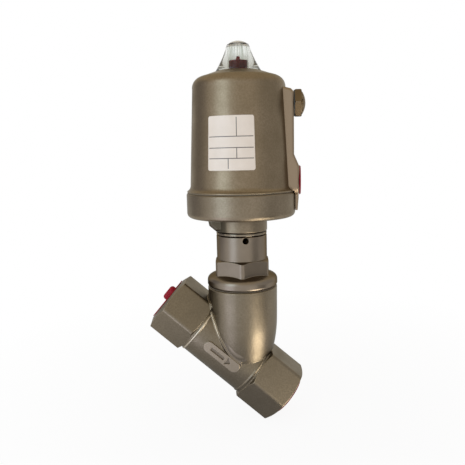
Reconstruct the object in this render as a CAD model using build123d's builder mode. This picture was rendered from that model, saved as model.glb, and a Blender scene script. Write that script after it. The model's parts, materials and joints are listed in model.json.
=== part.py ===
from build123d import *
import math
import os

# Angle seat valve: a Y-pattern G 3/4 body, a threaded bonnet and a single-acting
# 50 mm piston actuator that the springs close. Millimetres.
# The row frame sits on the outlet port's axis, at the mouth of its thread.
# The stem is vertical, and the pipe axis runs down to +X.

os.makedirs("parts", exist_ok=True)

# ---- driving dimensions ----
PIPE_SLOPE = 40.0          # pipe axis below the horizontal
INLET_REACH = 62.4         # from where the axes cross to the inlet face
OUTLET_REACH = 34.3        # from where the axes cross to the outlet face
PORT_FLATS = 36.2          # hexagon across flats at both ports
PORT_CORNER = 2.4          # rounding of its six corners
INLET_HEX = 25.0           # length of each hexagon
OUTLET_HEX = 25.8
PORT_THREAD_R = 12.06      # G 3/4 minor radius
PORT_THREAD_LENGTH = 13.0
PORT_RECESS_R = 13.4       # plain recess ahead of the thread
PORT_RECESS = 3.0
PIPE_R = 17.9
PASSAGE_R = 10.0
BRANCH_R = 21.35
SEAM_BEAD = 0.8
SEAT_Z = 6.0
ORIFICE_R = 9.5
CHAMBER_FLOOR = 4.5
STEM_R = 5.0
BONNET_FLATS = 32.2        # hexagon across flats above the bonnet's flange
NECK_R = 15.5
NECK_TOP = 81.7
HUB_BOTTOM = 84.1
HUB_R = 15.8
LUG_HALF = 11.0            # half width of the cast lug beside the hub
SPIGOT_R = 11.45
PISTON_BORE_R = 25.0
RING_R = 32.9
RING_BOTTOM = 92.8
RING_TOP = 107.7
CAN_STEP = 108.2           # underside of the canister's foot flange
CAN_FOOT_R = 30.3
CAN_TOP_R = 27.5
SPRING_FLOOR = 131.0
BORE_TOP = 168.0
CROWN = 178.0              # flat that the indicator dome stands on
DOME_TOP = 195.5
RIB_FACE = 32.3
RIB_HALF = 9.0             # half width of the rib and of the boss at its foot
BOSS_FACE = 35.3
BOSS_BOTTOM = 105.5
PILOT_Z = 114.2
VENT_Z = 159.1
PILOT_THREAD_R = 5.72      # G 1/4 minor radius
SLIP = 0.05                # running clearance, on the radius

# ---- the two axes and their planes ----
slope = math.radians(PIPE_SLOPE)
DOWNSTREAM = Vector(math.cos(slope), 0, -math.sin(slope))
PIPE_UP = Vector(math.sin(slope), 0, math.cos(slope))
UP = Vector(0, 0, 1)
CROSSING = DOWNSTREAM * (PORT_RECESS - OUTLET_REACH)
STEM_AXIS = Axis(CROSSING, UP)
STEM = Plane(origin=CROSSING, x_dir=(1, 0, 0), z_dir=UP)
STEM_SECTION = Plane(origin=CROSSING, x_dir=(1, 0, 0), z_dir=(0, -1, 0))
PIPE = Plane(origin=CROSSING, x_dir=PIPE_UP, z_dir=DOWNSTREAM)


def section_of(base):
    """The plane whose x is the base's x and whose y is the base's normal."""
    return Plane(origin=base.origin, x_dir=base.x_dir, z_dir=-base.y_dir)


def turned(*outline, base=STEM):
    """A ring or shaft turned about the base's normal from a closed (radius, height) outline."""
    with BuildPart() as piece:
        with BuildSketch(section_of(base)):
            with BuildLine():
                Polyline(*outline, close=True)
            make_face()
        revolve(axis=Axis(base.origin, base.z_dir))
    return piece


def crown(rim, top):
    """Middle point of the arc from a rim to the top on the axis, square to the axis there."""
    rise = top - rim[1]
    radius = (rim[0] ** 2 + rise**2) / (2 * rise)
    middle = rim[0] / 2
    return middle, top - radius + math.sqrt(radius**2 - middle**2)


def tube(inner, outer, low, high):
    """Outline of a plain ring."""
    return (inner, low), (outer, low), (outer, high), (inner, high)


def chamfered_hexagon(base, flats, length, low_cone, high_cone, turn=90, rounding=0):
    """A hexagon standing on a plane, its ends turned to cones: each cone is (end radius, height)."""
    corner = flats / math.sqrt(3) - rounding * (2 / math.sqrt(3) - 1)
    with BuildPart() as piece:
        with BuildSketch(base) as outline:
            RegularPolygon(flats / 2, 6, major_radius=False, rotation=turn)
            if rounding:
                fillet(outline.vertices(), rounding)
        extrude(amount=length)
        with BuildSketch(section_of(base)):
            with BuildLine():
                Polyline(
                    (0, 0),
                    (low_cone[0], 0),
                    (corner, low_cone[1]),
                    (corner, length - high_cone[1]),
                    (high_cone[0], length),
                    (0, length),
                    close=True,
                )
            make_face()
        revolve(axis=Axis(base.origin, base.z_dir), mode=Mode.INTERSECT)
    return piece.part


def spring(mean_r, wire, low, high, turns):
    """A compression spring of square wire, both ends ground flat."""
    with BuildPart() as piece:
        with BuildLine(STEM.offset(low)):
            coil = Helix(pitch=(high - low) / turns, height=high - low, radius=mean_r)
        with BuildSketch(Plane(origin=coil @ 0, z_dir=coil % 0)):
            Rectangle(wire, wire)
        sweep(path=coil, is_frenet=True)
        split(bisect_by=STEM.offset(low), keep=Keep.TOP)
        split(bisect_by=STEM.offset(high), keep=Keep.BOTTOM)
    return piece


# =====================================================================
# Valve body: hexagonal ports, pipe run, branch for the bonnet, seat
# =====================================================================
FACE_CONE = (15.0, 2.1)
PIPE_CONE = (18.8, 1.0)


def pipe_run(grow):
    """The pipe with the inlet hexagon on its end, grown on the radius."""
    face = PIPE.offset(-INLET_REACH)
    flats = PORT_FLATS + 2 * grow
    with BuildPart() as piece:
        with BuildSketch(face.offset(5)):
            Circle(PIPE_R + grow)
        extrude(amount=INLET_REACH + OUTLET_REACH - 10)
        add(chamfered_hexagon(face, flats, INLET_HEX, FACE_CONE, PIPE_CONE, rounding=PORT_CORNER))
    return piece.part


def branch(grow):
    """The branch, a cylinder that draws in as it sinks into the pipe, grown on the radius."""
    with BuildPart() as piece:
        with BuildSketch(STEM_SECTION):
            with BuildLine():
                Polyline((0, 49.5), (21.0 + grow, 49.5), (21.5 + grow, 49.0), (BRANCH_R + grow, 30))
                ThreePointArc((BRANCH_R + grow, 30), (20.45 + grow, 17.5), (17.35 + grow, 4))
                Polyline((17.35 + grow, 4), (14 + grow, -2), (0, -2), (0, 49.5))
            make_face()
        revolve(axis=STEM_AXIS)
    return piece.part


outlet_hexagon = chamfered_hexagon(
    PIPE.offset(OUTLET_REACH - OUTLET_HEX),
    PORT_FLATS,
    OUTLET_HEX,
    PIPE_CONE,
    FACE_CONE,
    rounding=PORT_CORNER,
)

# bead left by the casting mould along the seam between branch and pipe, on the inlet side:
# what is inside both once each is grown
with BuildPart() as seam_bead:
    add(branch(SEAM_BEAD))
    add(pipe_run(SEAM_BEAD), mode=Mode.INTERSECT)
    split(bisect_by=Plane(CROSSING, z_dir=(1, 0, 0)), keep=Keep.BOTTOM)

# the inlet passage runs into the chamber above the seat, the outlet passage leaves below it
with BuildPart() as inlet_passage:
    with BuildSketch(PIPE.offset(-INLET_REACH + 10)):
        Circle(PASSAGE_R)
    extrude(amount=INLET_REACH - 18)
    split(bisect_by=STEM.offset(CHAMBER_FLOOR), keep=Keep.TOP)

with BuildPart() as outlet_passage:
    with BuildSketch(PIPE.offset(-11)):
        Circle(PASSAGE_R + 0.5)
    extrude(amount=OUTLET_REACH)
    split(bisect_by=STEM.offset(CHAMBER_FLOOR - 2.5), keep=Keep.BOTTOM)

with BuildPart() as valve_body:
    add(pipe_run(0))
    add(branch(0))
    add(seam_bead.part)
    add(outlet_hexagon)
    # cast beads round the pipe, just inboard of each hexagon
    with BuildSketch(section_of(PIPE)):
        with Locations(
            (PIPE_R - 0.5, INLET_HEX - INLET_REACH + 1.9),
            (PIPE_R - 0.5, OUTLET_REACH - OUTLET_HEX - 1.9),
        ):
            Circle(0.9)
    revolve(axis=Axis(PIPE.origin, PIPE.z_dir))
    # oval pad along the front of the pipe, with the flow arrow sunk in its face
    pad_face = Plane(
        origin=CROSSING + Vector(0, -PIPE_R - 1.1, 0), x_dir=DOWNSTREAM, z_dir=(0, -1, 0)
    )
    with BuildSketch(pad_face):
        with Locations((-15.0, -0.7)):
            SlotOverall(26.0, 6.8)
    extrude(amount=-8)
    with BuildSketch(pad_face):
        with Locations((-18.2, -0.7)):
            Rectangle(10.0, 1.9)
        with Locations((-10.4, -0.7)):
            Triangle(a=5.2, B=50, C=50, rotation=-90)
    extrude(amount=-0.9, mode=Mode.SUBTRACT)
    # ports
    for mouth, out in ((PIPE.offset(-INLET_REACH), 1), (PIPE.offset(OUTLET_REACH), -1)):
        with BuildSketch(mouth):
            Circle(PORT_RECESS_R)
        extrude(amount=out * PORT_RECESS, mode=Mode.SUBTRACT)
        with BuildSketch(mouth):
            Circle(PORT_THREAD_R)
        extrude(amount=out * (PORT_RECESS + PORT_THREAD_LENGTH), mode=Mode.SUBTRACT)
    add(inlet_passage.part, mode=Mode.SUBTRACT)
    add(outlet_passage.part, mode=Mode.SUBTRACT)
    # chamber, bonnet thread and gasket face
    with BuildSketch(STEM_SECTION):
        with BuildLine():
            Polyline(
                (0, CHAMBER_FLOOR),
                (13.6, CHAMBER_FLOOR),
                (13.6, 8),
                (15.6, 18),
                (15.6, 38),
                (16.0, 38),
                (16.0, 50),
                (0, 50),
                close=True,
            )
        make_face()
    revolve(axis=STEM_AXIS, mode=Mode.SUBTRACT)
    # raised seat lip round the orifice
    with BuildSketch(STEM_SECTION):
        with BuildLine():
            Polyline(
                (ORIFICE_R - 1, CHAMBER_FLOOR - 1),
                (11.6, CHAMBER_FLOOR - 1),
                (11.0, SEAT_Z),
                (10.2, SEAT_Z),
                (ORIFICE_R - 1, CHAMBER_FLOOR + 1),
                close=True,
            )
        make_face()
    revolve(axis=STEM_AXIS)
    with BuildSketch(STEM.offset(-1)):
        Circle(ORIFICE_R)
    extrude(amount=10, mode=Mode.SUBTRACT)
valve_body.part.label = "valve_body"
export_step(valve_body.part, "parts/valve_body.step")

# =====================================================================
# Bonnet: rounded flange, hexagon, neck and the spigot the actuator turns on
# =====================================================================
bonnet_hexagon = chamfered_hexagon(
    STEM.offset(54), BONNET_FLATS, 12.9, (17.8, 0.4), (15.8, 1.2), turn=-85, rounding=3.0
)
with BuildPart() as bonnet:
    with BuildSketch(STEM_SECTION):
        with BuildLine():
            Polyline((0, 39), (15.3, 39), (15.9, 40), (15.9, 50.1), (20.4, 50.1))
            ThreePointArc((20.4, 50.1), (21.4, 50.8), (21.7, 52.0))
            Line((21.7, 52.0), (21.7, 53.6))
            ThreePointArc((21.7, 53.6), (21.2, 55.3), (19.6, 56.6))
            Polyline(
                (19.6, 56.6),
                (NECK_R, 58.4),
                (NECK_R, NECK_TOP - 0.4),
                (NECK_R - 0.4, NECK_TOP),
                (SPIGOT_R, NECK_TOP),
                (SPIGOT_R, 95.0),
                (0, 95.0),
                (0, 39),
            )
        make_face()
    revolve(axis=STEM_AXIS)
    add(bonnet_hexagon)
    # packing chamber above, guide bush seat below
    with BuildSketch(STEM.offset(56)):
        Circle(8.0)
    extrude(amount=40, mode=Mode.SUBTRACT)
    with BuildSketch(STEM.offset(38)):
        Circle(6.5)
    extrude(amount=20, mode=Mode.SUBTRACT)
    # groove for the snap wire and groove for the O-ring, on the spigot
    for groove_z, groove_height in ((88.0, 1.7), (91.8, 2.1)):
        with BuildSketch(STEM.offset(groove_z - groove_height / 2)):
            Circle(SPIGOT_R + 1)
            Circle(SPIGOT_R - 1.2, mode=Mode.SUBTRACT)
        extrude(amount=groove_height, mode=Mode.SUBTRACT)
    # telltale hole into the space above the packing
    telltale = Plane(
        origin=CROSSING + UP * 79.55,
        x_dir=(0, 0, 1),
        z_dir=(math.sin(math.radians(14)), -math.cos(math.radians(14)), 0),
    )
    with BuildSketch(telltale):
        Circle(1.95)
    extrude(amount=20, mode=Mode.SUBTRACT)
bonnet.part.label = "bonnet"
export_step(bonnet.part, "parts/bonnet.step")

# =====================================================================
# Packing and swivel rings, all turned about the stem
# =====================================================================
RUNNING = STEM_R + SLIP
valve_rings = {
    "bonnet_gasket": tube(16.1, 19.6, 49.5, 50.1),
    "stem_guide_bush": tube(RUNNING, 6.45, 42.0, 56.0),
    "packing_washer": tube(5.4, 7.9, 63.5, 64.8),
    "packing_gland": ((5.4, 71.8), (7.9, 71.8), (7.9, 77.6), (5.4, 77.6)),
    "stem_wiper": ((RUNNING, 84.0), (7.9, 84.0), (7.9, 88.0), (6.6, 88.0), (RUNNING, 89.2)),
    "wiper_snap_ring": tube(6.2, 7.95, 89.3, 90.2),
    "dust_ring": (
        (SPIGOT_R + SLIP, NECK_TOP),
        (13.2, NECK_TOP),
        (13.2, NECK_TOP + 0.6),
        (NECK_R, NECK_TOP + 0.6),
        (NECK_R, NECK_TOP + 1.8),
        (SPIGOT_R + SLIP, NECK_TOP + 1.8),
    ),
}
for label, outline in valve_rings.items():
    ring = turned(*outline)
    ring.part.label = label
    export_step(ring.part, f"parts/{label}.step")

# stack of V-shaped packing rings on the stem
with BuildPart() as chevron_packing:
    for level in range(4):
        foot = 64.8 + 1.6 * level
        with BuildSketch(STEM_SECTION):
            with BuildLine():
                Polyline(
                    (RUNNING, foot),
                    (6.45, foot + 1.4),
                    (7.9, foot),
                    (7.9, foot + 1.6),
                    (6.45, foot + 3.0),
                    (RUNNING, foot + 1.6),
                    close=True,
                )
            make_face()
        revolve(axis=STEM_AXIS)
    # flat top for the gland, flat foot on the washer
    split(bisect_by=STEM.offset(71.8), keep=Keep.BOTTOM)
chevron_packing.part.label = "chevron_packing"
export_step(chevron_packing.part, "parts/chevron_packing.step")

packing_spring = spring(6.7, 1.3, 56.0, 63.5, 3)
packing_spring.part.label = "packing_spring"
export_step(packing_spring.part, "parts/packing_spring.step")

# cord rings, with eight flats in place of a round section: centre radius, height, section radius
cord_rings = {
    "swivel_snap_wire": (SPIGOT_R - 0.45, 88.0, 0.75),
    "bonnet_o_ring": (SPIGOT_R - 0.6, 91.8, 0.6),
    "base_o_ring": (28.1, 101.5, 0.9),
    "dome_o_ring": (7.5, 171.4, 1.0),
}
for label, (centre_r, height, section_r) in cord_rings.items():
    with BuildPart() as ring:
        with BuildSketch(STEM_SECTION):
            with Locations((centre_r, height)):
                RegularPolygon(section_r, 8, major_radius=False, rotation=22.5)
        revolve(axis=STEM_AXIS)
    ring.part.label = label
    export_step(ring.part, f"parts/{label}.step")

# =====================================================================
# Actuator: canister, screwed base, dome, silencer
# =====================================================================
# the rib down the canister's +X side, with the boss of the pilot port at its foot
with BuildPart() as rib_and_boss:
    with BuildSketch(STEM_SECTION):
        with BuildLine():
            Polyline(
                (24.0, BOSS_BOTTOM),
                (BOSS_FACE, BOSS_BOTTOM),
                (BOSS_FACE, 122.5),
                (RIB_FACE, 129.5),
                (RIB_FACE, 165.0),
                (RIB_FACE - 1.7, 166.8),
                (24.0, 168.6),
                close=True,
            )
        make_face()
    extrude(amount=RIB_HALF, both=True)
    sides = rib_and_boss.edges().filter_by(lambda e: abs(abs(e.center().Y) - RIB_HALF) < 0.01)
    fillet(sides.group_by(Axis.Z)[0], radius=6.0)
    rims = [
        edge
        for edge in rib_and_boss.edges()
        if edge.center().X - CROSSING.X > 31 or edge.center().Z - CROSSING.Z > 167.2
    ]
    fillet([e for e in rims if abs(e.center().Y) > 5 or e.center().Z < CROSSING.Z + 106], radius=1.6)
rib = rib_and_boss.part

with BuildPart() as actuator_cylinder:
    with BuildSketch(STEM_SECTION):
        with BuildLine():
            Polyline(
                (0, 98.4),
                (29.0, 98.4),
                (29.0, CAN_STEP),
                (32.4, CAN_STEP),
                (32.4, CAN_STEP + 0.6),
            )
            ThreePointArc((32.4, CAN_STEP + 0.6), (30.9, 110.2), (CAN_FOOT_R, 112.3))
            Line((CAN_FOOT_R, 112.3), (CAN_TOP_R, 168.0))
            ThreePointArc((CAN_TOP_R, 168.0), (26.3, 172.6), (22.1, 175.1))
            Polyline((22.1, 175.1), (13.8, CROWN), (0, CROWN), (0, 98.4))
        make_face()
    revolve(axis=STEM_AXIS)
    add(rib)
    # the boss's tail, which hangs beside the base ring
    with BuildSketch(STEM_SECTION):
        with BuildLine():
            Polyline((31.0, 96.5), (34.3, 96.5), (34.9, 104.0), (34.9, 108.0), (31.0, 108.0), close=True)
        make_face()
    extrude(amount=4.5, both=True)
    # bore, skirt O-ring groove, dome thread and the way for the indicator rod
    with BuildSketch(STEM_SECTION):
        with BuildLine():
            Polyline(
                (0, 90),
                (PISTON_BORE_R, 90),
                (PISTON_BORE_R, BORE_TOP - 3),
                (PISTON_BORE_R - 3, BORE_TOP),
                (6.0, BORE_TOP),
                (6.0, 170.4),
                (9.0, 170.4),
                (9.0, CROWN + 1),
                (0, CROWN + 1),
                close=True,
            )
        make_face()
    revolve(axis=STEM_AXIS, mode=Mode.SUBTRACT)
    with BuildSketch(STEM.offset(100.4)):
        Circle(29.0)
        Circle(27.2, mode=Mode.SUBTRACT)
    extrude(amount=2.2, mode=Mode.SUBTRACT)
    # room for the base ring behind the boss's tail
    with BuildSketch(STEM.offset(90)):
        Circle(RING_R + 0.3)
        Circle(29.0, mode=Mode.SUBTRACT)
    extrude(amount=CAN_STEP - 90, mode=Mode.SUBTRACT)
    # pilot port: recess, thread, way into the bore under the piston
    for hole_r, far, near in ((7.0, 40, BOSS_FACE - 1.8), (PILOT_THREAD_R, 40, 26.6), (3.0, 40, 22)):
        with BuildSketch(Plane(origin=CROSSING + Vector(far, 0, PILOT_Z), z_dir=(1, 0, 0))):
            Circle(hole_r)
        extrude(amount=near - far, mode=Mode.SUBTRACT)
    # exhaust port for the silencer
    for hole_r, far, near in ((PILOT_THREAD_R, 40, 26.4), (2.0, 40, 22)):
        with BuildSketch(Plane(origin=CROSSING + Vector(far, 0, VENT_Z), z_dir=(1, 0, 0))):
            Circle(hole_r)
        extrude(amount=near - far, mode=Mode.SUBTRACT)
actuator_cylinder.part.label = "actuator_cylinder"
export_step(actuator_cylinder.part, "parts/actuator_cylinder.step")

# cast lug beside the hub, on the inlet side
with BuildPart() as hub_lug:
    with BuildSketch(STEM_SECTION):
        with BuildLine():
            Polyline(
                (-8.0, RING_BOTTOM + 1),
                (-19.2, RING_BOTTOM + 1),
                (-19.2, 91.0),
                (-18.6, 88.0),
                (-14.6, HUB_BOTTOM + 0.5),
                (-8.0, HUB_BOTTOM + 0.5),
                close=True,
            )
        make_face()
    extrude(amount=LUG_HALF, both=True)
    lug_sides = hub_lug.edges().filter_by(lambda e: abs(abs(e.center().Y) - LUG_HALF) < 0.01)
    fillet(lug_sides.filter_by(lambda e: e.center().X - CROSSING.X < -9), radius=2.5)

with BuildPart() as actuator_base:
    with BuildSketch(STEM_SECTION):
        with BuildLine():
            Polyline(
                (0, HUB_BOTTOM),
                (HUB_R - 0.4, HUB_BOTTOM),
                (HUB_R, HUB_BOTTOM + 0.4),
                (HUB_R, RING_BOTTOM - 2.0),
            )
            TangentArc((HUB_R, RING_BOTTOM - 2.0), (HUB_R + 2.0, RING_BOTTOM), tangent=(0, 1))
            Line((HUB_R + 2.0, RING_BOTTOM), (RING_R - 3.0, RING_BOTTOM))
            TangentArc((RING_R - 3.0, RING_BOTTOM), (RING_R, RING_BOTTOM + 3.0), tangent=(1, 0))
            Line((RING_R, RING_BOTTOM + 3.0), (RING_R, RING_TOP - 1.2))
            TangentArc((RING_R, RING_TOP - 1.2), (RING_R - 1.2, RING_TOP), tangent=(0, 1))
            Polyline(
                (RING_R - 1.2, RING_TOP),
                (29.05, RING_TOP),
                (29.05, 98.3),
                (12.5, 98.3),
                (12.5, 112.0),
                (0, 112.0),
                (0, HUB_BOTTOM),
            )
        make_face()
    revolve(axis=STEM_AXIS)
    add(hub_lug.part)
    # swivel bore with its snap groove, rod bore with its guide seat
    with BuildSketch(STEM_SECTION):
        with BuildLine():
            Polyline(
                (0, 80),
                (12.0, 80),
                (12.0, HUB_BOTTOM),
                (SPIGOT_R + SLIP, HUB_BOTTOM + 0.5),
                (SPIGOT_R + SLIP, 86.95),
                (12.1, 86.95),
                (12.1, 89.05),
                (SPIGOT_R + SLIP, 89.05),
                (SPIGOT_R + SLIP, 95.4),
                (6.0, 95.4),
                (6.0, 97.4),
                (7.0, 97.4),
                (7.0, 113),
                (0, 113),
                close=True,
            )
        make_face()
    revolve(axis=STEM_AXIS, mode=Mode.SUBTRACT)
actuator_base.part.label = "actuator_base"
export_step(actuator_base.part, "parts/actuator_base.step")

with BuildPart() as indicator_dome:
    with BuildSketch(STEM_SECTION):
        with BuildLine():
            Polyline((6.2, 172.4), (8.9, 172.4), (8.9, CROWN), (13.3, CROWN), (13.3, CROWN + 0.7))
            ThreePointArc((13.3, CROWN + 0.7), (10.5, 183.6), (7.75, 189.4))
            ThreePointArc((7.75, 189.4), (7.1, 191.6), (6.4, 193.3))
            ThreePointArc((6.4, 193.3), crown((6.4, 193.3), DOME_TOP), (0, DOME_TOP))
            Line((0, DOME_TOP), (0, DOME_TOP - 1.1))
            ThreePointArc((0, DOME_TOP - 1.1), crown((5.4, 192.6), DOME_TOP - 1.1), (5.4, 192.6))
            Polyline((5.4, 192.6), (6.2, 191.6), (6.2, 172.4))
        make_face()
    revolve(axis=STEM_AXIS)
indicator_dome.part.label = "indicator_dome"
export_step(indicator_dome.part, "parts/indicator_dome.step")

# bushes and seals fixed in the actuator, all turned about the stem
actuator_rings = {
    "base_guide_bush": tube(RUNNING, 6.95, 97.4, 106.0),
    "rod_seal": ((RUNNING, 106.2), (6.95, 106.2), (6.95, 110.2), (6.0, 110.2), (RUNNING, 109.2)),
    "rod_seal_ring": tube(5.6, 6.98, 110.4, 111.6),
    "indicator_guide_bush": tube(3.0 + SLIP, 5.95, BORE_TOP, 170.4),
}
for label, outline in actuator_rings.items():
    ring = turned(*outline)
    ring.part.label = label
    export_step(ring.part, f"parts/{label}.step")

outer_spring = spring(17.6, 3.0, SPRING_FLOOR, BORE_TOP, 5)
outer_spring.part.label = "outer_spring"
export_step(outer_spring.part, "parts/outer_spring.step")

inner_spring = spring(11.4, 2.2, SPRING_FLOOR, BORE_TOP, 7)
inner_spring.part.label = "inner_spring"
export_step(inner_spring.part, "parts/inner_spring.step")

# silencer in the exhaust port: hexagon corners towards the front and the back
VENT = Plane(origin=CROSSING + Vector(RIB_FACE, 0, VENT_Z), x_dir=(0, 0, 1), z_dir=(1, 0, 0))
silencer_seal = turned(*tube(5.8, 7.6, 0, 0.6), base=VENT)
silencer_seal.part.label = "silencer_seal"
export_step(silencer_seal.part, "parts/silencer_seal.step")

silencer_hexagon = chamfered_hexagon(VENT.offset(0.6), 15.0, 4.0, (7.8, 0.5), (7.3, 0.6))
with BuildPart() as silencer_body:
    add(silencer_hexagon)
    with BuildSketch(VENT.offset(-5.6)):
        Circle(5.67)
    extrude(amount=7)
    with BuildSketch(VENT.offset(-6)):
        Circle(3.2)
    extrude(amount=12, mode=Mode.SUBTRACT)
    with BuildSketch(VENT.offset(3.0)):
        Circle(6.5)
    extrude(amount=3, mode=Mode.SUBTRACT)
silencer_body.part.label = "silencer_body"
export_step(silencer_body.part, "parts/silencer_body.step")

with BuildPart() as silencer_element:
    with BuildSketch(section_of(VENT)):
        with BuildLine():
            Polyline((0, 3.0), (6.45, 3.0), (6.45, 4.9))
            ThreePointArc((6.45, 4.9), crown((6.45, 4.9), 6.8), (0, 6.8))
            Line((0, 6.8), (0, 3.0))
        make_face()
    revolve(axis=Axis(VENT.origin, VENT.z_dir))
silencer_element.part.label = "silencer_element"
export_step(silencer_element.part, "parts/silencer_element.step")

# =====================================================================
# Stem group: everything that lifts
# =====================================================================
PIN_Z = 21.5
with BuildPart() as valve_stem:
    with BuildSketch(STEM_SECTION):
        with BuildLine():
            Polyline(
                (0, -1.6),
                (3, -1.6),
                (3, 13),
                (STEM_R, 13),
                (STEM_R, 118.6),
                (4, 118.6),
                (4, 140),
                (3, 140),
                (3, 181),
                (0, 181),
                close=True,
            )
        make_face()
    revolve(axis=STEM_AXIS)
    with BuildSketch(STEM_SECTION):
        with Locations((0, PIN_Z)):
            Circle(1.52)
    extrude(amount=9, both=True, mode=Mode.SUBTRACT)
valve_stem.part.label = "valve_stem"
export_step(valve_stem.part, "parts/valve_stem.step")

with BuildPart() as disc_holder:
    with BuildSketch(STEM_SECTION):
        with BuildLine():
            Polyline(
                (3.02, 9.2),
                (11.55, 9.2),
                (11.55, 7.4),
                (12.5, 7.4),
                (12.5, 14.4),
                (8.0, 17.0),
                (8.0, 26.0),
                (STEM_R + 0.02, 26.0),
                (STEM_R + 0.02, 13.0),
                (3.02, 13.0),
                close=True,
            )
        make_face()
    revolve(axis=STEM_AXIS)
    with BuildSketch(STEM_SECTION):
        with Locations((0, PIN_Z)):
            Circle(1.52)
    extrude(amount=9, both=True, mode=Mode.SUBTRACT)
disc_holder.part.label = "disc_holder"
export_step(disc_holder.part, "parts/disc_holder.step")

with BuildPart() as disc_pin:
    with BuildSketch(STEM_SECTION):
        with Locations((0, PIN_Z)):
            Circle(1.5)
    extrude(amount=7.8, both=True)
disc_pin.part.label = "disc_pin"
export_step(disc_pin.part, "parts/disc_pin.step")

stem_rings = {
    "seat_disc": (
        (6.5, 7.2),
        (8.6, 7.2),
        (8.6, SEAT_Z + SLIP),
        (11.5, SEAT_Z + SLIP),
        (11.5, 9.2),
        (6.5, 9.2),
    ),
    "disc_retainer": ((3.02, 4.4), (8.5, 4.4), (8.5, 7.15), (6.45, 7.15), (6.45, 9.2), (3.02, 9.2)),
    "piston": (
        (4.02, 118.6),
        (8.0, 118.6),
        (8.0, 120.5),
        (22.4, 120.5),
        (24.6, 121.7),
        (24.6, 123.0),
        (21.5, 123.0),
        (21.5, 126.0),
        (24.6, 126.0),
        (24.6, 127.5),
        (22.8, 127.5),
        (22.8, 129.8),
        (24.6, 129.8),
        (24.6, 133.5),
        (21.6, 133.5),
        (21.6, SPRING_FLOOR),
        (8.6, SPRING_FLOOR),
        (8.6, 132.0),
        (4.02, 132.0),
    ),
    "piston_lip_seal": (
        (21.55, 123.1),
        (24.2, 123.1),
        (PISTON_BORE_R - SLIP, 123.6),
        (PISTON_BORE_R - SLIP, 124.4),
        (23.9, 125.9),
        (21.55, 125.9),
    ),
    "piston_wear_ring": tube(22.85, PISTON_BORE_R - SLIP, 127.6, 129.7),
    "piston_washer": tube(4.05, 7.6, 132.0, 133.2),
    "position_indicator": (
        (3.02, 177.4),
        (4.2, 177.4),
        (5.4, 178.7),
        (5.4, 182.9),
        (1.3, 183.4),
        (0.8, 185.4),
        (0, 185.4),
        (0, 181.02),
        (3.02, 181.02),
    ),
}
for label, outline in stem_rings.items():
    ring = turned(*outline)
    ring.part.label = label
    export_step(ring.part, f"parts/{label}.step")

# hexagon nuts: across flats, foot, height, bore radius
nuts = {"disc_nut": (10.0, 0.2, 4.2, 3.02), "piston_nut": (13.0, 133.2, 6.5, 4.02)}
for label, (flats, foot, height, bore_r) in nuts.items():
    bevel = (flats / 2, 0.7)
    blank = chamfered_hexagon(STEM.offset(foot), flats, height, bevel, bevel)
    with BuildPart() as nut:
        add(blank)
        with BuildSketch(STEM.offset(foot - 1)):
            Circle(bore_r)
        extrude(amount=height + 2, mode=Mode.SUBTRACT)
    nut.part.label = label
    export_step(nut.part, f"parts/{label}.step")

# =====================================================================
# Dust plugs: a thin flange, a spigot in the recess, a pull knob
# =====================================================================
INLET_MOUTH = Plane(origin=PIPE.offset(-INLET_REACH - SLIP).origin, x_dir=PIPE_UP, z_dir=-DOWNSTREAM)
OUTLET_MOUTH = PIPE.offset(OUTLET_REACH + SLIP)
for label, mouth in (("inlet_port_plug", INLET_MOUTH), ("outlet_port_plug", OUTLET_MOUTH)):
    with BuildPart() as plug:
        with BuildSketch(mouth):
            Circle(14.3)
        extrude(amount=0.6)
        with BuildSketch(mouth):
            Circle(13.0)
        extrude(amount=-2.5)
        with BuildSketch(mouth):
            with Locations((3.5, 0)):
                SlotOverall(10.0, 5.6)
        extrude(amount=3.6)
        fillet(plug.faces().sort_by(Axis(mouth.origin, mouth.z_dir))[-1].edges(), radius=2.0)
    plug.part.label = label
    export_step(plug.part, f"parts/{label}.step")

PILOT = Plane(
    origin=CROSSING + Vector(BOSS_FACE + SLIP, 0, PILOT_Z), x_dir=(0, 0, 1), z_dir=(1, 0, 0)
)
pilot_port_plug = turned(
    (0, -1.6), (6.6, -1.6), (6.6, 0), (8.65, 0), (8.65, 0.4), (8.2, 0.85), (0, 0.85),
    base=PILOT,
)
pilot_port_plug.part.label = "pilot_port_plug"
export_step(pilot_port_plug.part, "parts/pilot_port_plug.step")
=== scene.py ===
import json
import math

import bmesh
import bpy
from mathutils import Matrix, Vector


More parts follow.
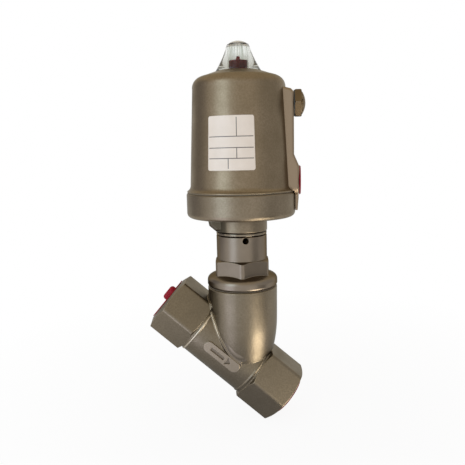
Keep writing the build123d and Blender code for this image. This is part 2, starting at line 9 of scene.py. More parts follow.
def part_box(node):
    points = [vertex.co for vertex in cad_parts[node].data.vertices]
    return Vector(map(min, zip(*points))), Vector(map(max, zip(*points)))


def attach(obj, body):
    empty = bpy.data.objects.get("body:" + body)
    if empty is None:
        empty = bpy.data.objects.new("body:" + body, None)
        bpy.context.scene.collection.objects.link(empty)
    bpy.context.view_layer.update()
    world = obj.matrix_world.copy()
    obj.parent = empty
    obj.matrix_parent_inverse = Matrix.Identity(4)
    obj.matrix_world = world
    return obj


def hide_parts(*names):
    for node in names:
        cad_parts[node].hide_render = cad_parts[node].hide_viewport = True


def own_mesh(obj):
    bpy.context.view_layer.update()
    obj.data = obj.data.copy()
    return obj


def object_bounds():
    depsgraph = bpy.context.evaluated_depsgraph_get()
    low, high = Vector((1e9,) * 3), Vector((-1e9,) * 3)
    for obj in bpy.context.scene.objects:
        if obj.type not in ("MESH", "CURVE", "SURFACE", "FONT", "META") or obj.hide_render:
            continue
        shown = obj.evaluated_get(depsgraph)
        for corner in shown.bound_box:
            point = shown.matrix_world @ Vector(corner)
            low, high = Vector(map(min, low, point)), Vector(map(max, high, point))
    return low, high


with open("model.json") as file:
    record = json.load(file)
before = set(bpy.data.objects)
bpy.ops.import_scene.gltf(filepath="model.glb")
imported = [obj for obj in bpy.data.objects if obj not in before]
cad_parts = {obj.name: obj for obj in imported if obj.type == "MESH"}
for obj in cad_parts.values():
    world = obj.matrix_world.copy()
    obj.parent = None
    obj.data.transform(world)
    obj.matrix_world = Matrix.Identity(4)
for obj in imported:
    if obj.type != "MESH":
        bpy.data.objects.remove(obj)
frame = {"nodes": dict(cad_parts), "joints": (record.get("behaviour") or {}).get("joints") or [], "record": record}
cad_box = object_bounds()

# An angle seat valve: a cast stainless Y-pattern body, a threaded bonnet and a piston actuator
# that turns on it. Lengths written here are in millimetres from the point where the stem's axis
# crosses the pipe's, X towards the outlet side and Z up the stem, and MM turns them to metres.
# What the frame gives is in metres, and so is anything whose name ends in _M.
MM = 0.001
joints = {joint["name"]: joint for joint in frame["joints"]}
mounts = {mount["name"]: mount for mount in frame["record"]["mounts"]}
downstream = Vector(mounts["outlet_port"]["axis"])
outlet = Vector(mounts["outlet_port"]["pos_m"])
stem_x = joints["actuator_swivel"]["pos_m"][0]
crossing = outlet + downstream * ((stem_x - outlet.x) / downstream.x)


# ---- shader nodes ----
def linear(hex_colour):
    """An sRGB hex colour as linear red, green, blue and alpha."""
    channels = [int(hex_colour[i : i + 2], 16) / 255 for i in (1, 3, 5)]
    turned = [c / 12.92 if c <= 0.04045 else ((c + 0.055) / 1.055) ** 2.4 for c in channels]
    return (*turned, 1.0)


def add(tree, kind, inputs=None, **settings):
    """Adds a shader node. Settings are its own properties; inputs are values or outputs."""
    made = tree.nodes.new("ShaderNode" + kind)
    for name, value in settings.items():
        setattr(made, name, value)
    for name, value in (inputs or {}).items():
        if isinstance(value, bpy.types.NodeSocket):
            tree.links.new(value, made.inputs[name])
        else:
            made.inputs[name].default_value = value
    return made


def worked(tree, operation, *values):
    """What one Math node makes of its values."""
    return add(tree, "Math", dict(enumerate(values)), operation=operation).outputs[0]


def both(tree, *shares):
    """Shares of the surface multiplied: what lies in all of them."""
    product = shares[0]
    for share in shares[1:]:
        product = worked(tree, "MULTIPLY", product, share)
    return product


def vector(tree, operation, *values):
    """The vector that one VectorMath node makes of its values."""
    return add(tree, "VectorMath", dict(enumerate(values)), operation=operation).outputs[0]


def measure(tree, operation, *values):
    """The number that one VectorMath node makes of its vectors."""
    node = add(tree, "VectorMath", dict(enumerate(values)), operation=operation)
    return node.outputs["Value"]


def scaled(tree, value, by):
    """A vector made longer or shorter by a factor."""
    return add(tree, "VectorMath", {0: value, "Scale": by}, operation="SCALE").outputs[0]


def axes(tree, place):
    """A place's X, Y and Z."""
    return add(tree, "SeparateXYZ", {0: place}).outputs


def band(tree, value, start, full, low=0.0, high=1.0):
    """low up to start, rising to high at full. full may lie below start."""
    ranges = {"From Min": start, "From Max": full, "To Min": low, "To Max": high}
    return add(tree, "MapRange", {"Value": value, **ranges}).outputs[0]


def noise(tree, place, size, detail):
    """Cloudy noise in patches of about size."""
    inputs = {"Vector": place, "Scale": 1 / size, "Detail": detail}
    return add(tree, "TexNoise", inputs).outputs[0]


def stripes(tree, along, size, detail):
    """Noise that changes along one measure only, in stripes of about size."""
    inputs = {"W": along, "Scale": 1 / size, "Detail": detail}
    return add(tree, "TexNoise", inputs, noise_dimensions="1D").outputs[0]


MIX_COLOURS = (0, 6, 7, 2)  # a Mix node's colour sockets: factor, first, second, and its output


def tinted(tree, factor, first, second):
    """Two colours mixed by a factor."""
    share, one, two, result = MIX_COLOURS
    inputs = {share: factor, one: first, two: second}
    return add(tree, "Mix", inputs, data_type="RGBA").outputs[result]


def begin(name, **values):
    """A new material with its principled shader's own sockets set, and its surface coordinates."""
    material = bpy.data.materials.new(name)
    material.use_nodes = True
    tree = material.node_tree
    shader = tree.nodes["Principled BSDF"]
    for socket, value in values.items():
        shader.inputs[socket.replace("_", " ")].default_value = value
    place = add(tree, "TexCoord").outputs["Object"]
    place = scaled(tree, vector(tree, "SUBTRACT", place, crossing), 1 / MM)
    return material, tree, shader, place


BEVEL_SAMPLES, HOLLOW_SAMPLES = 6, 8
WORN = (0.99, 0.85)    # how far a rounded edge's normal agrees with the face's: not worn, all worn
SHUT_IN = (0.7, 0.2)   # how open a place is to the air: no painted shade, the darkest painted shade


def relief(tree, shader, *layers, edge):
    """Rounds the edges by edge, then raises each (height output, depth) over them."""
    normal = add(tree, "Bevel", {"Radius": edge * MM}, samples=BEVEL_SAMPLES).outputs[0]
    for height, depth in layers:
        inputs = {"Height": height, "Distance": depth * MM, "Strength": 1.0, "Normal": normal}
        normal = add(tree, "Bump", inputs).outputs[0]
    tree.links.new(normal, shader.inputs["Normal"])


def worn_edges_and_hollow_shade(tree, edge, reach, deepest=0.7):
    """Shares of the surface that are a worn edge within edge, and of painted shade where it is shut in within
    reach.
    """
    rounded = add(tree, "Bevel", {"Radius": edge * MM}, samples=BEVEL_SAMPLES).outputs[0]
    flat = add(tree, "NewGeometry").outputs["Normal"]
    worn = band(tree, measure(tree, "DOT_PRODUCT", rounded, flat), *WORN)
    open_to_air = add(
        tree, "AmbientOcclusion", {"Distance": reach * MM}, samples=HOLLOW_SAMPLES
    ).outputs["AO"]
    return worn, band(tree, open_to_air, *SHUT_IN, high=deepest)


# ---- cast stainless ----
PIPE_R = 17.9              # the cast pipe, outside
BRANCH_R = 21.35           # the branch round the stem, outside
HEX_STARTS = (-37.4, 8.5)  # where the port hexagons begin, along the pipe
RAISED = (0.15, 0.5)       # how proud of both walls the seam's painted highlight starts, and is full
SEAM_FADE = 0.6            # the length over which it ends at the hexagons
PAD_FACE = (0.6, 1.0, 1.25, 1.4)  # the arrow pad's face, in front of the pipe: in, full, full, out
PAD_FOOT = (0.03, 0.1, 0.4, 0.6)  # the pad's foot and the arrow's floor, in painted shade, likewise
PAD_ALONG = (-33.0, -32.5, 6.0, 6.5)
PAD_HALF = (8.0, 7.5)      # half the width across the pipe where the pad's colours end
LUG_X, LUG_TOP = (-7.0, -8.5), (92.7, 92.2)  # where the lug's painted shade fades in, and is full
RIB_X, RIB_HALF, RIB_TOP = (24.0, 25.0), (9.4, 9.1), (167.4, 166.9)  # and the rib's painted light
SCRATCH_STRETCH = (0.08, 0.08, 1.1)          # long and level


def within(tree, value, rise, full, still_full, fall, base=0.0):
    """1 between full and still_full, fading to 0 at rise below and at fall above."""
    rising = band(tree, value, base + rise, base + full)
    return both(tree, rising, band(tree, value, base + fall, base + still_full))


def body_painted_light_and_pad(tree, place, colour):
    """The body's raised seam, painted brighter than the casting round it as a painted highlight along its ridge;
    the arrow pad, painted a shade paler; and the foot of the pad and floor of the arrow sunk in it, painted duller
    as painted shade."""
    along = measure(tree, "DOT_PRODUCT", place, downstream)
    off_pipe = vector(tree, "SUBTRACT", place, scaled(tree, downstream, along))
    off_pipe = measure(tree, "LENGTH", off_pipe)
    off_stem = measure(tree, "LENGTH", vector(tree, "MULTIPLY", place, (1, 1, 0)))
    starts, full = RAISED
    low_end, high_end = HEX_STARTS
    seam = both(
        tree,
        band(tree, off_pipe, PIPE_R + starts, PIPE_R + full),
        band(tree, off_stem, BRANCH_R + starts, BRANCH_R + full),
        within(tree, along, low_end, low_end + SEAM_FADE, high_end - SEAM_FADE, high_end),
    )
    front = worked(tree, "MULTIPLY", axes(tree, place)["Y"], -1.0)
    upward = Vector((-downstream.z, 0.0, downstream.x))
    across = worked(tree, "ABSOLUTE", measure(tree, "DOT_PRODUCT", place, upward))
    beside = both(tree, within(tree, along, *PAD_ALONG), band(tree, across, *PAD_HALF))
    pad = both(tree, within(tree, front, *PAD_FACE, base=PIPE_R), beside)
    foot = both(tree, within(tree, front, *PAD_FOOT, base=PIPE_R), beside)
    # the seam's painted highlight, the pad's paler tone, and painted shade on the pad's foot and the arrow's floor
    colour = tinted(tree, seam, colour, linear("#dccfba"))
    colour = tinted(tree, pad, colour, linear("#938778"))
    return tinted(tree, foot, colour, linear("#7a7064"))


def lug_painted_shade(tree, place, colour):
    """The base's stop lug is painted darker: painted shade under the ring's overhang on its left side."""
    split = axes(tree, place)
    lug_shade = both(tree, band(tree, split["X"], *LUG_X), band(tree, split["Z"], *LUG_TOP))
    return tinted(tree, lug_shade, colour, linear("#544d40"))


def rib_painted_light(tree, place, colour):
    """The rib's faces are painted a shade paler: painted light, for the light their flat faces catch."""
    split = axes(tree, place)
    rib_lit = both(
        tree,
        band(tree, split["X"], *RIB_X),
        band(tree, worked(tree, "ABSOLUTE", split["Y"]), *RIB_HALF),
        band(tree, split["Z"], *RIB_TOP),
    )
    return tinted(tree, rib_lit, colour, linear("#8d7c68"))


def cast_stainless(name, tone, dark, grit, wave, shut, marks):
    """Investment-cast stainless, glass-bead blasted: a satin grey-brown with no direction to it,
    with painted shade darkening its hollows, the grit's fine relief and a faint unevenness left by
    the mould. shut is how near the walls of hollows are for that painted shade, and how dark it gets."""
    material, tree, shader, place = begin(
        name, Metallic=1.0, Roughness=0.4, Specular_Tint=linear("#dcdcd8")
    )
    blotch = noise(tree, place, size=14, detail=3.0)
    speck = noise(tree, place, size=0.9, detail=2.0)
    mould = noise(tree, place, size=wave, detail=2.0)
    reach, deepest = shut
    worn, hollow_shade = worn_edges_and_hollow_shade(tree, edge=0.6, reach=reach, deepest=deepest)
    colour = tinted(tree, blotch, linear(tone), linear(dark))
    colour = tinted(tree, band(tree, speck, 0.35, 0.65, high=0.6), colour, linear(dark))
    # painted shade: darker where the surface is shut in from the air
    colour = tinted(tree, hollow_shade, colour, linear("#453d32"))
    colour = tinted(tree, worn, colour, linear("#a0927c"))
    # marks paints the body's seam with a painted highlight, its pad paler and the pad's foot and arrow floor with
    # painted shade; the rib with painted light; the lug with painted shade
    colour = marks(tree, place, colour)
    tree.links.new(colour, shader.inputs["Base Color"])
    rough = band(tree, blotch, 0.3, 0.7, low=0.33, high=0.44)
    tree.links.new(rough, shader.inputs["Roughness"])
    # faint level scratches from the dressing belt, drawn about four times as coarse as they are
    level = vector(tree, "MULTIPLY", place, SCRATCH_STRETCH)
    scratch = noise(tree, level, size=1.0, detail=3.0)
    relief(tree, shader, (mould, 0.06), (speck, grit), (scratch, grit), edge=0.5)
    return material


# name: tone, dark tone, grit's depth, size of the mould's waves, (reach, depth) of the painted shade in hollows,
# marks with painted light and shade
CAST = {
    # the valve body: the roughest blast, so the dullest and most speckled
    "cast_stainless": ("#857a69", "#6c6252", 0.05, 4.0, (1.5, 0.5), body_painted_light_and_pad),
    # the canister: a thin, even casting, blasted finer and a little paler
    "can_stainless": ("#91816c", "#746651", 0.035, 7.0, (1.5, 0.2), rib_painted_light),
    # the ring under it: the same, with painted shade reaching deep under its overhang and painted shade on its lug
    "base_stainless": ("#8f8270", "#736755", 0.04, 7.0, (12.0, 0.8), lug_painted_shade),
}


# ---- other materials ----
def turned_metal(name, tone, dark, rough, grazing, pitch, depth):
    """Metal turned on a lathe: fine rings round the stem, drawn about ten times as coarse as the
    real feed so that they show, and small changes of shade from place to place."""
    material, tree, shader, place = begin(
        name, Metallic=1.0, Roughness=rough, Specular_Tint=linear(grazing)
    )
    radius = measure(tree, "LENGTH", vector(tree, "MULTIPLY", place, (1, 1, 0)))
    along = worked(tree, "ADD", radius, axes(tree, place)["Z"])
    rings = stripes(tree, along, size=pitch, detail=2.0)
    worn, hollow_shade = worn_edges_and_hollow_shade(tree, edge=0.5, reach=3.0)
    blotch = noise(tree, place, size=9, detail=3.0)
    colour = tinted(tree, blotch, linear(tone), linear(dark))
    # painted shade: darker where the surface is shut in from the air
    colour = tinted(tree, hollow_shade, colour, linear("#26221d"))
    colour = tinted(tree, worn, colour, linear("#9c907e"))
    tree.links.new(colour, shader.inputs["Base Color"])
    relief(tree, shader, (rings, depth), edge=0.4)
    return material


# name: tone, dark tone, roughness, colour at a grazing angle, pitch and depth of the rings
TURNED = {
    # bonnet and nuts: satin, with fine turning rings
    "machined_stainless": ("#877c6e", "#766b5e", 0.32, "#98938a", 0.7, 0.012),
    # stem: bright and nearly smooth
    "polished_stainless": ("#b4aa9c", "#a0968a", 0.18, "#9a8f80", 0.5, 0.006),
    # dust ring: rubbed to a sharp glint on an otherwise dull band
    "rubbed_stainless": ("#8b8070", "#776d5f", 0.14, "#b0aba2", 0.5, 0.006),
    # springs and snap rings: drawn wire, grey and dull
    "spring_steel": ("#85827e", "#6f6c68", 0.35, "#8a8680", 0.8, 0.01),
    # piston: pale, with coarse facing rings
    "aluminium": ("#c2c3c4", "#adaeb0", 0.3, "#d0d0d0", 0.6, 0.015),
    # silencer: tarnished to a dark yellow-brown
    "brass": ("#74624a", "#5c4d39", 0.34, "#6e6450", 0.5, 0.015),
    # guide bushes: redder and brighter than the brass
    "bronze": ("#a8855a", "#92714a", 0.35, "#806040", 0.5, 0.015),
}


def moulded(name, tone, dark, rough, grain, depth, shine=0.5):
    """Moulded plastic or rubber: one colour with a slight flow mottle and a fine orange-peel
    skin."""
    material, tree, shader, place = begin(name, Roughness=rough, Specular_IOR_Level=shine)
    flow = noise(tree, place, size=6, detail=2.0)
    skin = noise(tree, place, size=grain, detail=2.0)
    tree.links.new(tinted(tree, flow, linear(tone), linear(dark)), shader.inputs["Base Color"])
    relief(tree, shader, (skin, depth), edge=0.3)
    return material


# name: tone, dark tone, roughness, size and depth of the skin's grain, and specular level
MOULDED = {
    # seat disc and packing: waxy white
    "ptfe": ("#ebebe7", "#e0e0da", 0.45, 1.2, 0.02),
    # wear ring and gaskets: the same wax, carbon grey
    "filled_ptfe": ("#42423f", "#393936", 0.5, 1.2, 0.02),
    # O-rings and lip seals: matt black
    "seal_rubber": ("#17171a", "#101012", 0.6, 0.8, 0.03),
    # dust plugs: soft, even red with little shine
    "red_plastic": ("#a8182a", "#8c1222", 0.5, 1.4, 0.02, 0.2),
    # position indicator: the same plastic, painted darker as shade inside its dome
    "indicator_plastic_shaded": ("#80161f", "#5e1218", 0.5, 1.4, 0.02, 0.2),
    # bead in the canister's joint: dull, near the metal's own tone
    "sealing_compound": ("#8a7d6b", "#786c5b", 0.6, 1.0, 0.03, 0.2),
    # the bonnet gasket's rim: dull brown, a shade darker than the metal
    "filled_gasket_sheet": ("#7a6d5d", "#6c6050", 0.6, 1.0, 0.03, 0.2),
}


def sintered(name, tone, dark):
    """Bronze powder pressed and sintered: small grains with dark pores between them."""
    material, tree, shader, place = begin(name, Metallic=1.0, Roughness=0.55)
    grain_size = 0.8
    grains = add(tree, "TexVoronoi", {"Vector": place, "Scale": 1 / grain_size})
    grains = grains.outputs["Distance"]
    colour = tinted(tree, band(tree, grains, 0.3, 0.7), linear(tone), linear(dark))
    tree.links.new(colour, shader.inputs["Base Color"])
    relief(tree, shader, (grains, -0.15), edge=0.3)
    return material


HIGHLIGHT_STREAK_STEP = 0.2                           # radians from one painted highlight streak to the next
DOME_WALL_TOP, DOME_FOOT = 188.0, 179.0    # painted shade greys the wall from the one down to the other
CROWN_EDGE = (192.2, 193.4, 194.6, 195.3)  # where painted shade greys it at the crown: in, full, full, out


def clear_plastic(name):
    """Clear moulded dome: light passes and it has a soft shine. Pale painted highlight streaks run up its
    wall between grey, and painted shade greys it at its crown's edge and towards its thick foot."""
    material, tree, shader, place = begin(
        name, Roughness=0.05, Transmission_Weight=1.0, IOR=1.3
    )
    haze = noise(tree, place, size=3, detail=3.0)
    rough = band(tree, haze, 0.3, 0.7, low=0.02, high=0.1)
    tree.links.new(rough, shader.inputs["Roughness"])
    split = axes(tree, place)
    angle = worked(tree, "ARCTAN2", split["X"], split["Y"])
    # flow here carries the wall's painted highlight streaks
    flow = stripes(tree, angle, size=HIGHLIGHT_STREAK_STEP, detail=1.0)
    colour = tinted(tree, band(tree, flow, 0.42, 0.6), linear("#fbfcfb"), linear("#d3d6cf"))
    # painted shade at the foot and at the crown's edge
    foot = band(tree, split["Z"], DOME_WALL_TOP, DOME_FOOT)
    colour = tinted(tree, foot, colour, linear("#bebdb4"))
    edge = within(tree, split["Z"], *CROWN_EDGE)
    colour = tinted(tree, edge, colour, linear("#a3a3a8"))
    tree.links.new(colour, shader.inputs["Base Color"])
    relief(tree, shader, (haze, 0.02), edge=0.3)
    return material


# ---- finishes of the CAD nodes ----
materials = {
    **{name: cast_stainless(name, *looks) for name, looks in CAST.items()},
    **{name: turned_metal(name, *looks) for name, looks in TURNED.items()},
    **{name: moulded(name, *looks) for name, looks in MOULDED.items()},
    "sintered_bronze": sintered("sintered_bronze", "#8f7a58", "#4a3c28"),
    "clear_plastic": clear_plastic("clear_plastic"),
}
OWN_FINISH = {
    "actuator_cylinder": "can_stainless",
    "actuator_base": "base_stainless",
    "position_indicator": "indicator_plastic_shaded",
    "dust_ring": "rubbed_stainless",
}
for row in frame["record"]["subparts"]:
    node = frame["nodes"][row["node"]]
    finish = OWN_FINISH.get(row["node"], row["material_slot"])
    node.data.materials.clear()
    node.data.materials.append(materials[finish])


# ---- meshes ----
def skinned(name, rings, closed=False, smooth=False):
    """An object whose skin joins one ring of points to the next. It ends in flat caps, unless it
    is closed on itself."""
    mesh = bmesh.new()
    rings = [[mesh.verts.new(point) for point in ring] for ring in rings]
    sides = len(rings[0])
    for one, two in zip(rings, rings[1:] + (rings[:1] if closed else [])):
        for k in range(sides):
            face = mesh.faces.new((one[k], two[k], two[(k + 1) % sides], one[(k + 1) % sides]))
            face.smooth = smooth
    if not closed:
        mesh.faces.new(rings[0])
        mesh.faces.new(reversed(rings[-1]))
    bmesh.ops.recalc_face_normals(mesh, faces=mesh.faces)
    data = bpy.data.meshes.new(name)
    mesh.to_mesh(data)
    mesh.free()
    return linked(name, data)


def linked(name, data):
    """A new object in the scene."""
    made = bpy.data.objects.new(name, data)
    bpy.context.scene.collection.objects.link(made)
    return made


# ---- label plate ----
LABEL_LOW, LABEL_HIGH = 121.4, 151.2
LABEL_LEFT, LABEL_RIGHT = -31.5, 21.5  # degrees round the stem from the front
LABEL_CORNER = 1.2
CORNER_STEPS, MIDDLE_STEPS = 6, 24
LABEL_BACK, LABEL_THICK = -0.05, 0.15  # how proud of the canister its back and its face are
CAN_FOOT_R, CAN_TOP_R = 30.3, 27.5     # the canister's taper, between these heights
CAN_FOOT, CAN_SHOULDER = 112.3, 168.0
RULES = (139.9, 133.8, 128.0)          # heights of the ruled lines
RULE_MIDDLE, RULE_HALF = -5.0, 25.0    # degrees to their middles, and half their length
DIVIDERS = ((1.8, 139.9, 150.2), (1.8, 128.0, 133.8), (-7.5, 122.4, 128.0))  # degrees, low, high
RULE_INK = (0.16, 0.1)                 # half a rule's thickness, and its soft edge
DIVIDER_INK = (0.3, 0.2)               # the same of an upright line, in degrees
RULE_END, DIVIDER_END = 0.3, 0.1       # how softly each ends


def can_radius(height):
    """The canister's outside radius at a height."""
    share = (height - CAN_FOOT) / (CAN_SHOULDER - CAN_FOOT)
    return CAN_FOOT_R - (CAN_FOOT_R - CAN_TOP_R) * share


def on_can(degrees, height, proud):
    """A place on the canister's wall, and so far proud of it."""
    turn = math.radians(degrees)
    reach = can_radius(height) + proud
    return crossing + MM * Vector((reach * math.sin(turn), -reach * math.cos(turn), height))


def label_plate():
    """A foil rating plate wrapped round the canister, with round corners."""
    turn_mm = math.radians(1) * can_radius((LABEL_LOW + LABEL_HIGH) / 2)
    width = (LABEL_RIGHT - LABEL_LEFT) * turn_mm
    straight = width - 2 * LABEL_CORNER
    turns = [math.radians(90 * k / CORNER_STEPS) for k in range(CORNER_STEPS + 1)]
    corner = [LABEL_CORNER * (1 - math.cos(turn)) for turn in turns]
    middle = [LABEL_CORNER + straight * k / MIDDLE_STEPS for k in range(1, MIDDLE_STEPS)]
    columns = corner + middle + [width - across for across in reversed(corner)]
    rings = []
    for across in columns:
        inset = max(0.0, LABEL_CORNER - min(across, width - across))
        cut = LABEL_CORNER - math.sqrt(LABEL_CORNER**2 - inset**2)
        degrees = LABEL_LEFT + across / turn_mm
        low, high = LABEL_LOW + cut, LABEL_HIGH - cut
        spots = ((low, LABEL_BACK), (low, LABEL_THICK), (high, LABEL_THICK), (high, LABEL_BACK))
        rings.append([on_can(degrees, height, proud) for height, proud in spots])
    return skinned("label_plate", rings)


def label_foil():
    """Pale printed foil: a satin cream sheet, slightly uneven where it's stuck down, with thin
    dark rules and nothing else on it."""
    material, tree, shader, place = begin("label_foil", Roughness=0.4)
    split = axes(tree, place)
    angle = worked(tree, "ARCTAN2", split["X"], worked(tree, "MULTIPLY", split["Y"], -1.0))
    degrees = worked(tree, "MULTIPLY", angle, 180 / math.pi)

    def near(value, middle, half, soft):
        """1 within half of middle, fading out over soft."""
        gap = worked(tree, "ABSOLUTE", worked(tree, "SUBTRACT", value, middle))
        return band(tree, gap, half + soft, half)

    marks = []
    for height in RULES:
        across = near(degrees, RULE_MIDDLE, RULE_HALF, RULE_END)
        marks.append(both(tree, near(split["Z"], height, *RULE_INK), across))
    for at, low, high in DIVIDERS:
        upright = near(split["Z"], (low + high) / 2, (high - low) / 2, DIVIDER_END)
        marks.append(both(tree, near(degrees, at, *DIVIDER_INK), upright))
    ink = marks[0]
    for mark in marks[1:]:
        ink = worked(tree, "MAXIMUM", ink, mark)
    blotch = noise(tree, place, size=5, detail=2.0)
    colour = tinted(tree, blotch, linear("#fcecdd"), linear("#efdfcf"))
    tree.links.new(tinted(tree, ink, colour, linear("#4a4440")), shader.inputs["Base Color"])
    relief(tree, shader, (blotch, 0.03), edge=0.1)
    return material


plate = label_plate()
plate.data.materials.append(label_foil())
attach(plate, "actuator")


# ---- what fills the outer part of two joints: (radius, height) round each section ----
# between canister and base
BEAD_PROFILE = ((29.3, 107.72), (32.2, 107.66), (32.35, 107.9), (32.2, 108.18), (29.3, 108.18))
# the bonnet gasket's rim, squeezed out to just short of flush
RIM_PROFILE = ((19.5, 49.53), (20.75, 49.53), (20.9, 49.8), (20.75, 50.07), (19.5, 50.07))


def ring_in_joint(name, profile):
    """A section turned about the stem."""
    steps = 96
    rings = []
    for step in range(steps):
        turn = 2 * math.pi * step / steps
        out = Vector((math.cos(turn), math.sin(turn), 0.0))
        rings.append([crossing + MM * (out * r + Vector((0, 0, z))) for r, z in profile])
    return skinned(name, rings, closed=True)


bead = ring_in_joint("foot_bead", BEAD_PROFILE)
bead.data.materials.append(materials["sealing_compound"])
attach(bead, "actuator")

rim = ring_in_joint("gasket_rim", RIM_PROFILE)
rim.data.materials.append(materials["filled_gasket_sheet"])
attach(rim, "valve")


# ---- closing springs ----
SPRINGS = (("outer_spring", 17.6, 2.9, 5), ("inner_spring", 11.4, 2.1, 7))
CLOSED_END = 0.6  # turns that lie flat at each end


def coil_spring(node, mean_radius, wire, turns):
    """A round-wire compression spring with closed ends, in place of the CAD's square-wire one."""
    low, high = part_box(node)
    steps_a_turn, sides = 36, 10
    rings = []
    for step in range(turns * steps_a_turn + 1):
        turned = step / steps_a_turn
        turn = 2 * math.pi * turned
        share = min(1.0, max(0.0, (turned - CLOSED_END) / (turns - 2 * CLOSED_END)))
        out = Vector((math.cos(turn), math.sin(turn), 0.0))
        level = low.z + wire / 2 * MM + share * (high.z - low.z - wire * MM)
        middle = Vector((stem_x, 0.0, level)) + out * mean_radius * MM
        ring = []
        for side in range(sides):
            round_wire = 2 * math.pi * side / sides
            lift = Vector((0.0, 0.0, math.sin(round_wire)))
            ring.append(middle + (out * math.cos(round_wire) + lift) * wire / 2 * MM)
        rings.append(ring)
    return skinned(node + "_coil", rings, smooth=True)


for node, mean_radius, wire, turns in SPRINGS:
    coil = coil_spring(node, mean_radius, wire, turns)
    coil.data.materials.append(materials["spring_steel"])
    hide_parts(node)
    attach(coil, "actuator")
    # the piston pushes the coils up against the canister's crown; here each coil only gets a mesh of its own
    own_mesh(coil)


# ---- port threads ----
G34_PITCH, G14_PITCH = 1.814, 1.337
THREADS = (
    ("inlet_thread", "inlet_port", "valve", G34_PITCH),
    ("outlet_thread", "outlet_port", "valve", G34_PITCH),
    ("pilot_thread", "pilot_port", "actuator", G14_PITCH),
)
THREAD_STARTS = 0.3       # inside the mouth
CREST_HEIGHT = 0.3        # of the pitch
THREAD_STEPS = 40         # a turn
THREAD_FADE = 12          # steps over which the crest rises at each end
# the crest's section: (place along in pitches, share of the height); below 0 it's in the wall
CREST = ((-0.42, -0.05), (-0.1, 1.0), (0.1, 1.0), (0.42, -0.05))


def thread_ridges(name, mount, pitch):
    """A port's inside thread: one helical ridge standing in from the bore's plain wall."""
    port = mounts[mount]
    axis = Vector(port["axis"])
    mouth = Vector(port["pos_m"])
    side = axis.orthogonal().normalized()
    up = axis.cross(side)
    wall = port["dims"]["r_mm"]
    height = CREST_HEIGHT * pitch
    turns = (port["dims"]["length_mm"] - THREAD_STARTS - pitch) / pitch
    steps = int(turns * THREAD_STEPS)
    rings = []
    for step in range(steps + 1):
        turn = 2 * math.pi * step / THREAD_STEPS
        out = math.cos(turn) * side + math.sin(turn) * up
        fade = min(1.0, step / THREAD_FADE, (steps - step) / THREAD_FADE)
        ring = []
        for along, share in CREST:
            depth = THREAD_STARTS + pitch * (0.5 + step / THREAD_STEPS + along)
            rise = height * share * fade if share > 0 else height * share
            ring.append(mouth - axis * depth * MM + out * (wall - rise) * MM)
        rings.append(ring)
    return skinned(name, rings)


for name, mount, body, pitch in THREADS:
    ridge = thread_ridges(name, mount, pitch)
    ridge.data.materials.append(materials["machined_stainless"])
    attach(ridge, body)


# ---- world and floor: a plain white background, and a floor that keeps the shadow ----
ROOM_LIGHT = 0.6
CEILING = (0.15, 0.6)         # how steeply up a reflection looks where the warm ceiling starts
FLOOR_HALF_M = 3.0
SHADE_M = (0.05, 0.15)        # where the floor's shade in reflections thins out
SHADE_LEVEL = 0.55            # its level close in
FADE_M = (0.06, 0.3)          # where the floor turns plainly white
FADE_SHARE = 0.92             # how plainly white it is close in
WHITE = (1, 1, 1, 1)
floor_level = cad_box[0].z


def background_seen(tree):
    """1 for camera, glossy and transmission rays, which see the plain background."""
    rays = add(tree, "LightPath").outputs
    seen = worked(tree, "MAXIMUM", rays["Is Camera Ray"], rays["Is Glossy Ray"])
    return worked(tree, "MAXIMUM", seen, rays["Is Transmission Ray"])


def emptied(material_or_world):
    """Its node tree, with nothing in it."""
    material_or_world.use_nodes = True
    material_or_world.node_tree.nodes.clear()
    return material_or_world.node_tree


def studio_world():
    """White where it's seen, with a warm ceiling in the metal's reflections, over a soft room
    light."""
    world = bpy.data.worlds.new("studio")
    tree = emptied(world)
    is_glossy = add(tree, "LightPath").outputs["Is Glossy Ray"]
    upward = axes(tree, add(tree, "TexCoord").outputs["Generated"])["Z"]
    ceiling = both(tree, band(tree, upward, *CEILING), is_glossy)
    seen = tinted(tree, ceiling, WHITE, linear("#ece2cc"))
    backdrop = add(tree, "Background", {"Color": seen, "Strength": 1.0}).outputs[0]
    room = add(tree, "Background", {"Color": linear("#fffaf4"), "Strength": ROOM_LIGHT})
    inputs = {0: background_seen(tree), 1: room.outputs[0], 2: backdrop}
    add(tree, "OutputWorld", {"Surface": add(tree, "MixShader", inputs).outputs[0]})
    return world


def white_sweep():
    """A white paper floor: plain white away from the valve, its own shadow close in, and in the
    metal's reflections a cooler shade beside the valve."""
    material = bpy.data.materials.new("white_sweep")
    tree = emptied(material)
    lit = add(tree, "BsdfDiffuse", {"Color": linear("#fafafa")}).outputs[0]
    away = measure(tree, "LENGTH", add(tree, "TexCoord").outputs["Object"])
    shade = band(tree, away, *SHADE_M, low=SHADE_LEVEL)
    is_glossy = add(tree, "LightPath").outputs["Is Glossy Ray"]
    shade = worked(tree, "MAXIMUM", shade, worked(tree, "SUBTRACT", 1.0, is_glossy))
    cool = tinted(tree, shade, linear("#e6ecff"), WHITE)
    white = add(tree, "Emission", {"Color": cool, "Strength": shade}).outputs[0]
    plain = both(tree, background_seen(tree), band(tree, away, *FADE_M, low=FADE_SHARE))
    shown = add(tree, "MixShader", {0: plain, 1: lit, 2: white}).outputs[0]
    add(tree, "OutputMaterial", {"Surface": shown})
    return material


bpy.context.scene.world = studio_world()

corners = ((-1, -1), (1, -1), (1, 1), (-1, 1))
floor_mesh = bpy.data.meshes.new("floor")
floor_mesh.from_pydata(
    [(x * FLOOR_HALF_M, y * FLOOR_HALF_M, floor_level) for x, y in corners], [], [(0, 1, 2, 3)]
)
floor_mesh.materials.append(white_sweep())
linked("floor", floor_mesh)


# ---- lights ----
def round_the_stem(degrees, away, height):
    """A place in metres: degrees round the stem from the front towards the outlet side."""
    turn = math.radians(degrees)
    return Vector((stem_x + away * math.sin(turn), -away * math.cos(turn), height))


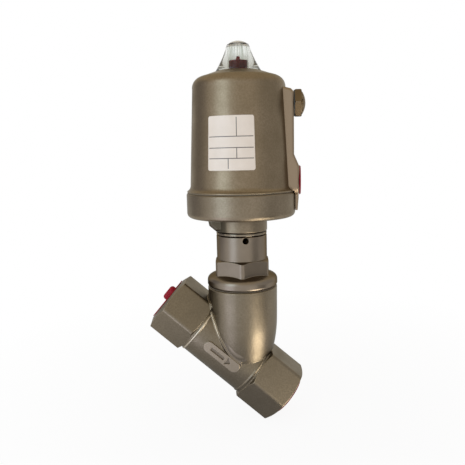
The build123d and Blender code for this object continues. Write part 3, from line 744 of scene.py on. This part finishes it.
def soft_light(name, place, size, power, tone):
    """An area light of size metres, aimed at the middle of the valve."""
    light = bpy.data.lights.new(name, "AREA")
    light.shape = "RECTANGLE"
    light.size, light.size_y = size
    light.energy = power
    light.color = linear(tone)[:3]
    lamp = linked(name, light)
    lamp.location = place
    middle = (cad_box[0] + cad_box[1]) / 2
    lamp.rotation_euler = (place - middle).to_track_quat("Z", "Y").to_euler()


def card(name, tone, level, start, end, near, far):
    """A curved studio card round the stem that only the metal's reflections see. It runs from
    start to end degrees, and between the (distance, height) pairs near and far in metres."""
    steps = 12
    rows = [
        round_the_stem(start + (end - start) * step / steps, away, height)
        for step in range(steps + 1)
        for away, height in (near, far)
    ]
    mesh = bpy.data.meshes.new(name)
    mesh.from_pydata(rows, [], [(2 * k, 2 * k + 2, 2 * k + 3, 2 * k + 1) for k in range(steps)])
    paper = bpy.data.materials.new(name)
    tree = emptied(paper)
    glow = add(tree, "Emission", {"Color": linear(tone), "Strength": level}).outputs[0]
    add(tree, "OutputMaterial", {"Surface": glow})
    mesh.materials.append(paper)
    sheet = linked(name, mesh)
    sheet.visible_camera = sheet.visible_diffuse = False
    sheet.visible_shadow = sheet.visible_transmission = False


# grey flags darken the metal's right side and its left edge. On the floor, a cool card lights the
# body's left side, a warm one the lower right of the branch, and a dark one the outlet's side
LOW_M, HIGH_M = (0.5, -0.03), (0.5, 0.5)
ON_FLOOR_M = floor_level + 0.001
card("right_flag", "#ffffff", 0.68, 50, 120, LOW_M, HIGH_M)
card("left_flag", "#f4f4ff", 0.46, -120, -78, LOW_M, HIGH_M)
card("cool_card", "#e6eaff", 2.5, -52, -24, (0.09, ON_FLOOR_M), (0.45, ON_FLOOR_M))
card("warm_card", "#fff6e6", 7.5, 36, 70, (0.045, ON_FLOOR_M), (0.16, ON_FLOOR_M))
card("low_flag", "#ffffff", 0.03, 50, 84, (0.2, ON_FLOOR_M), (0.5, ON_FLOOR_M))

key_place = round_the_stem(degrees=-34, away=0.8, height=0.2)
soft_light("key", key_place, size=(0.4, 0.9), power=2.8, tone="#c8e5ff")


# ---- camera ----
CAMERA_AWAY = 308.74       # from the stem's axis
CAMERA_UP = 129.72
CAMERA_ROUND = 5.16        # degrees round the stem, towards the outlet side
CAMERA_HEADING = 6.195     # degrees, as the pitch and roll are
CAMERA_PITCH = -8.68
CAMERA_ROLL = -1.32
SENSOR = 36.0
LENS = 39.19
CLIP_START_M = 0.01
round_stem = math.radians(CAMERA_ROUND)
standing = Vector(
    (CAMERA_AWAY * math.sin(round_stem), -CAMERA_AWAY * math.cos(round_stem), CAMERA_UP)
)
lens = bpy.data.cameras.new("camera")
lens.sensor_width = SENSOR
lens.lens = LENS
lens.clip_start = CLIP_START_M
camera = linked("camera", lens)
camera.matrix_world = (
    Matrix.Translation(crossing + MM * standing)
    @ Matrix.Rotation(math.radians(CAMERA_HEADING), 4, "Z")
    @ Matrix.Rotation(math.radians(90 + CAMERA_PITCH), 4, "X")
    @ Matrix.Rotation(math.radians(CAMERA_ROLL), 4, "Z")
)
bpy.context.scene.camera = camera
bpy.context.scene.view_settings.view_transform = "Standard"
